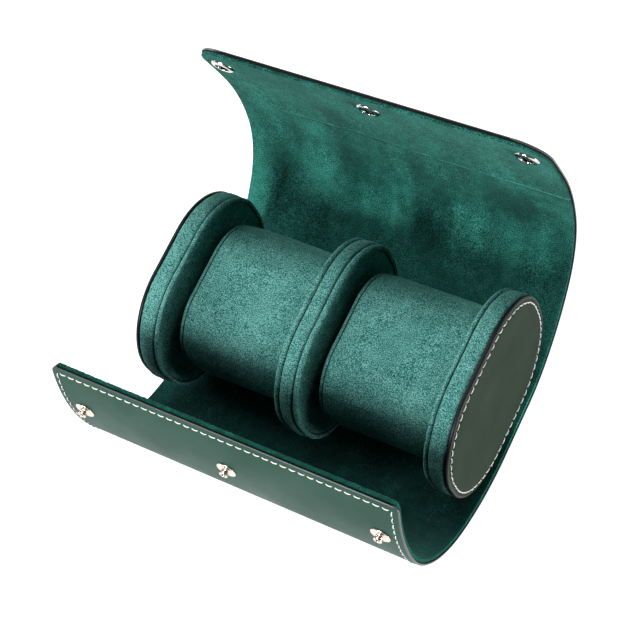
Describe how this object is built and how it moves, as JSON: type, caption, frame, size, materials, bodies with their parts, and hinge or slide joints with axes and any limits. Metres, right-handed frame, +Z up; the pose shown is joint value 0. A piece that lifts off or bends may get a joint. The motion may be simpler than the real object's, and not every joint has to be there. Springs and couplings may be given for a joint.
{
  "type": "watch travel case",
  "caption": "Watch travel roll: stiff suede-lined leather wrap with press-stud flap and lid, oval padded dividers and removable suede pillows, standing open.",
  "frame": {"origin": "middle of the underside of the flat strip that the open roll rests on", "axes": "+X along the roll, +Z up from the table, -Y towards the front flap with the studs, +Y towards the lid"},
  "size_m": [0.165, 0.1665, 0.1245],
  "materials": {
    "outer_leather": "smooth, softly glossy, dark green",
    "disc_leather": "smooth, softly glossy, dark olive grey",
    "suede": "suede with a short nap, emerald",
    "nickel": "polished",
    "spring_steel": "drawn wire",
    "board": "fibre board",
    "foam_board": "dense foam board",
    "foam": "soft foam"
  },
  "bodies": {
    "base": {"bottom_leather": "outer_leather", "bottom_suede": "suede", "left_core": "foam_board", "left_band": "suede", "left_piping": "suede", "left_face": "suede", "left_end_disc": "disc_leather", "middle_core": "foam_board", "middle_band": "suede", "middle_left_piping": "suede", "middle_right_piping": "suede", "middle_left_face": "suede", "middle_right_face": "suede", "right_core": "foam_board", "right_band": "suede", "right_piping": "suede", "right_face": "suede", "right_end_disc": "disc_leather"},
    "front_lower": {"front_lower_leather": "outer_leather", "front_lower_suede": "suede"},
    "front_middle": {"front_middle_leather": "outer_leather", "front_middle_suede": "suede"},
    "front_upper": {"front_upper_leather": "outer_leather", "front_upper_suede": "suede", "front_stiffener": "board", "snap_studs": "nickel", "stud_rivets": "nickel"},
    "lid_lower": {"lid_lower_leather": "outer_leather", "lid_lower_suede": "suede"},
    "lid_middle": {"lid_middle_leather": "outer_leather", "lid_middle_suede": "suede"},
    "lid_crown": {"lid_crown_leather": "outer_leather", "lid_crown_suede": "suede"},
    "lid_edge": {"lid_edge_leather": "outer_leather", "lid_edge_suede": "suede", "lid_stiffener": "board", "snap_sockets": "nickel", "socket_springs": "spring_steel", "snap_caps": "nickel"},
    "left_pillow": {"left_pillow_cover": "suede", "left_pillow_core": "foam"},
    "right_pillow": {"right_pillow_cover": "suede", "right_pillow_core": "foam"}
  },
  "joints": [
    {"name": "front_lower_bend", "type": "hinge", "parent": "base", "child": "front_lower", "pos_m": [0, -0.02644, 0.00391], "axis": [1, 0, 0], "range_deg": [-26, 0]},
    {"name": "front_middle_bend", "type": "hinge", "parent": "front_lower", "child": "front_middle", "pos_m": [0, -0.04913, 0.01137], "axis": [1, 0, 0], "range_deg": [-17, 0]},
    {"name": "front_upper_bend", "type": "hinge", "parent": "front_middle", "child": "front_upper", "pos_m": [0, -0.07721, 0.05675], "axis": [1, 0, 0], "range_deg": [-27, 0]},
    {"name": "lid_lower_bend", "type": "hinge", "parent": "base", "child": "lid_lower", "pos_m": [0, 0.03167, 0.0058], "axis": [-1, 0, 0], "range_deg": [-32, 0]},
    {"name": "lid_middle_bend", "type": "hinge", "parent": "lid_lower", "child": "lid_middle", "pos_m": [0, 0.06291, 0.02312], "axis": [-1, 0, 0], "range_deg": [-20.09, 0]},
    {"name": "lid_crown_bend", "type": "hinge", "parent": "lid_middle", "child": "lid_crown", "pos_m": [0, 0.08097, 0.05377], "axis": [-1, 0, 0], "range_deg": [-11.25, 0]},
    {"name": "lid_edge_bend", "type": "hinge", "parent": "lid_crown", "child": "lid_edge", "pos_m": [0, 0.08141, 0.08797], "axis": [-1, 0, 0], "range_deg": [-25.09, 0]},
    {"name": "left_pillow_lift", "type": "slide", "parent": "base", "child": "left_pillow", "axis": [0, 0, 1], "range_m": [0, 0.08]},
    {"name": "right_pillow_lift", "type": "slide", "parent": "base", "child": "right_pillow", "axis": [0, 0, 1], "range_m": [0, 0.08]}
  ]
}
